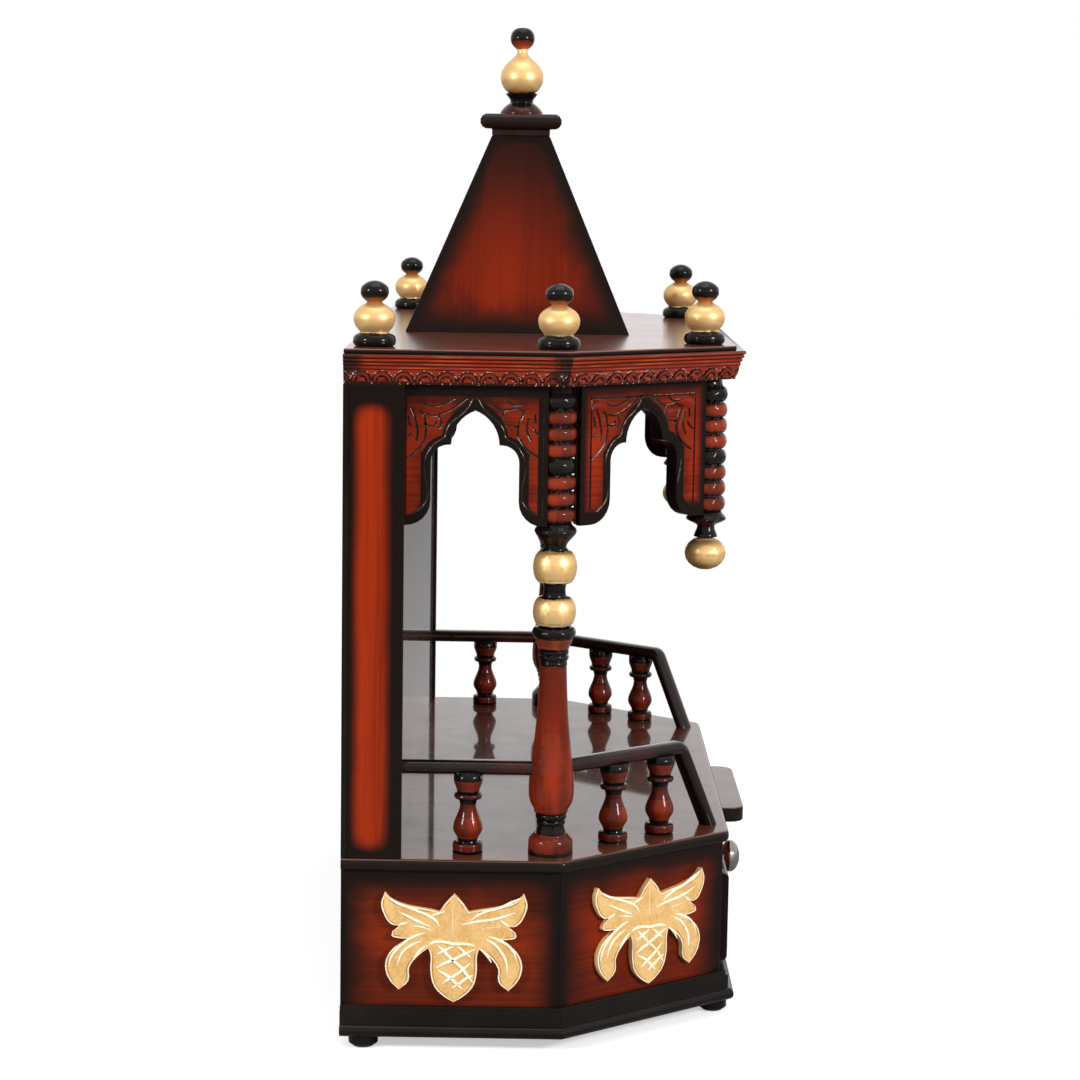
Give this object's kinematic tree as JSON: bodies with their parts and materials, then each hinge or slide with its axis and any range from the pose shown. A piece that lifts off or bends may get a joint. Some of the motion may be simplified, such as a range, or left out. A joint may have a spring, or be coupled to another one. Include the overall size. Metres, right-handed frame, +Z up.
{
  "type": "home shrine cabinet",
  "caption": "Wooden home shrine with cusped arch panels, turned pillars, a railing, a hollow spire, a drawer and a pull-out lamp tray.",
  "frame": {"origin": "middle of the footprint at floor level, halfway between the back face and the front-most point of the knob", "axes": "+Z up, -Y towards the front, +X to the right as seen from the front"},
  "size_m": [0.616, 0.3168, 0.7615],
  "materials": {
    "red_lacquer": "glossy lacquer, red brown in the middle and black at the edges",
    "dark_lacquer": "glossy black brown lacquer",
    "plain_wood": "plain sanded wood",
    "gold_paint": "metallic gold paint with dark shading",
    "cream_paint": "cream gold paint",
    "knob_metal": "polished"
  },
  "bodies": {
    "cabinet": {"feet": "dark_lacquer", "base_floor": "plain_wood", "base_back": "dark_lacquer", "base_side_left": "red_lacquer", "base_side_right": "red_lacquer", "base_diagonal_left": "red_lacquer", "base_diagonal_right": "red_lacquer", "base_front": "red_lacquer", "plinth_sides": "dark_lacquer", "plinth_diagonals": "dark_lacquer", "plinth_front": "dark_lacquer", "deck": "dark_lacquer", "slide_runners": "plain_wood", "back_panel": "dark_lacquer", "back_board": "dark_lacquer", "side_wall_left": "red_lacquer", "side_wall_right": "red_lacquer", "pillar_left": "red_lacquer", "pillar_right": "red_lacquer", "pendants": "red_lacquer", "arch_side_left": "red_lacquer", "arch_side_right": "red_lacquer", "arch_diagonal_left": "red_lacquer", "arch_diagonal_right": "red_lacquer", "arch_front": "red_lacquer", "cornice_sides": "red_lacquer", "cornice_diagonals": "red_lacquer", "cornice_front": "red_lacquer", "roof_board": "dark_lacquer", "spire_sides": "red_lacquer", "spire_ends": "red_lacquer", "spire_cap": "dark_lacquer", "spire_finial": "gold_paint", "roof_finials": "gold_paint", "rail_left": "dark_lacquer", "rail_right": "dark_lacquer", "balusters_left": "red_lacquer", "balusters_right": "red_lacquer", "carved_emblems": "cream_paint"},
    "drawer": {"drawer_front": "dark_lacquer", "drawer_sides": "plain_wood", "drawer_back": "plain_wood", "drawer_bottom": "plain_wood", "drawer_knob": "knob_metal"},
    "tray": {"lamp_tray": "dark_lacquer"}
  },
  "joints": [
    {"name": "drawer_slide", "type": "slide", "parent": "cabinet", "child": "drawer", "axis": [0, -1, 0], "range_m": [0, 0.17]},
    {"name": "tray_slide", "type": "slide", "parent": "cabinet", "child": "tray", "axis": [0, -1, 0], "range_m": [-0.02, 0.13]}
  ]
}
